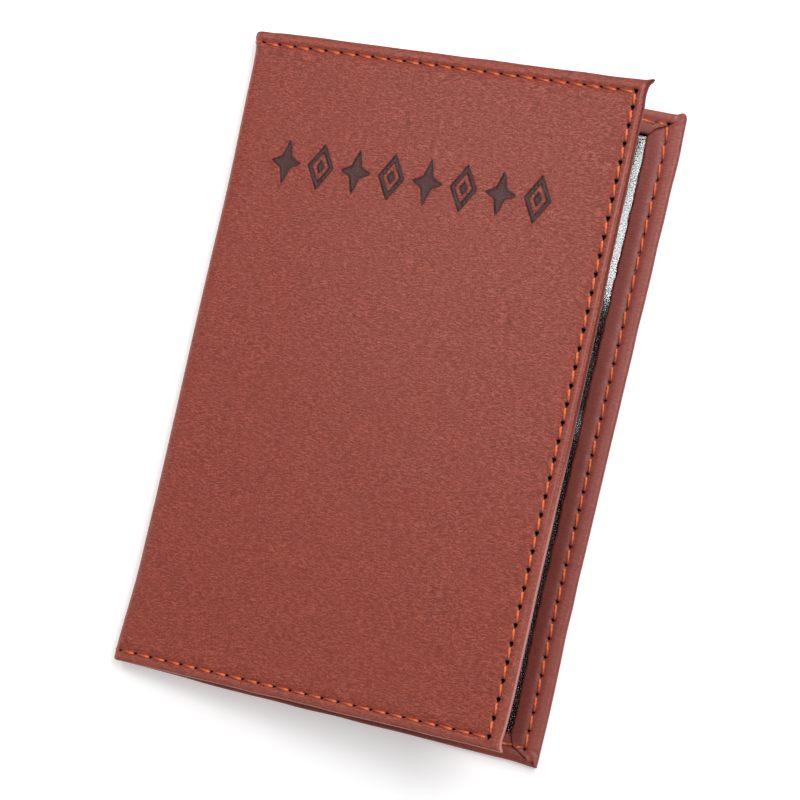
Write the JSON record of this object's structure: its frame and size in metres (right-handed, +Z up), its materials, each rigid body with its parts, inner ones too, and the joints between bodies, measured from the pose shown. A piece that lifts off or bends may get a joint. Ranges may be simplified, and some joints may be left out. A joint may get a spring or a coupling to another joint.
{
  "type": "passport holder",
  "caption": "Sewn leather-look passport holder: two covers hinged on a narrow spine, with a clear sleeve over black lining inside each.",
  "frame": {"origin": "on the surface that the closed back cover lies on, under the middle of the whole object's box at rest", "axes": "+X from the spine to the fore edge, +Y along the spine to the top edge, +Z up through the covers from back to front"},
  "size_m": [0.0942, 0.14, 0.0298],
  "materials": {
    "outer_leather": "reddish-brown PU leather, crinkled satin",
    "stiffener_board": "matt fibre sheet",
    "black_lining": "coarse plain weave",
    "clear_film": "clear flexible PVC film",
    "orange_thread": "orange bonded polyester thread"
  },
  "bodies": {
    "back": {"back_cover_leather": "outer_leather", "back_stiffener_board": "stiffener_board", "back_lining": "black_lining", "back_clear_sleeve": "clear_film", "back_needle_thread": "orange_thread", "back_bobbin_thread": "orange_thread"},
    "spine": {"spine_leather": "outer_leather", "spine_lining": "black_lining", "spine_needle_thread": "orange_thread", "spine_bobbin_thread": "orange_thread"},
    "front": {"front_cover_leather": "outer_leather", "front_stiffener_board": "stiffener_board", "front_lining": "black_lining", "front_clear_sleeve": "clear_film", "front_needle_thread": "orange_thread", "front_bobbin_thread": "orange_thread"}
  },
  "joints": [
    {"name": "back_crease", "type": "hinge", "parent": "back", "child": "spine", "pos_m": [-0.04595, 0, 0.0007], "axis": [0, -1, 0], "range_deg": [-8, 82]},
    {"name": "front_crease", "type": "hinge", "parent": "spine", "child": "front", "pos_m": [-0.04637, 0, 0.00367], "axis": [0, -1, 0], "range_deg": [-8, 82]}
  ],
  "couplings": [
    {"joint": "back_crease", "follows": "front_crease", "ratio": 1}
  ]
}
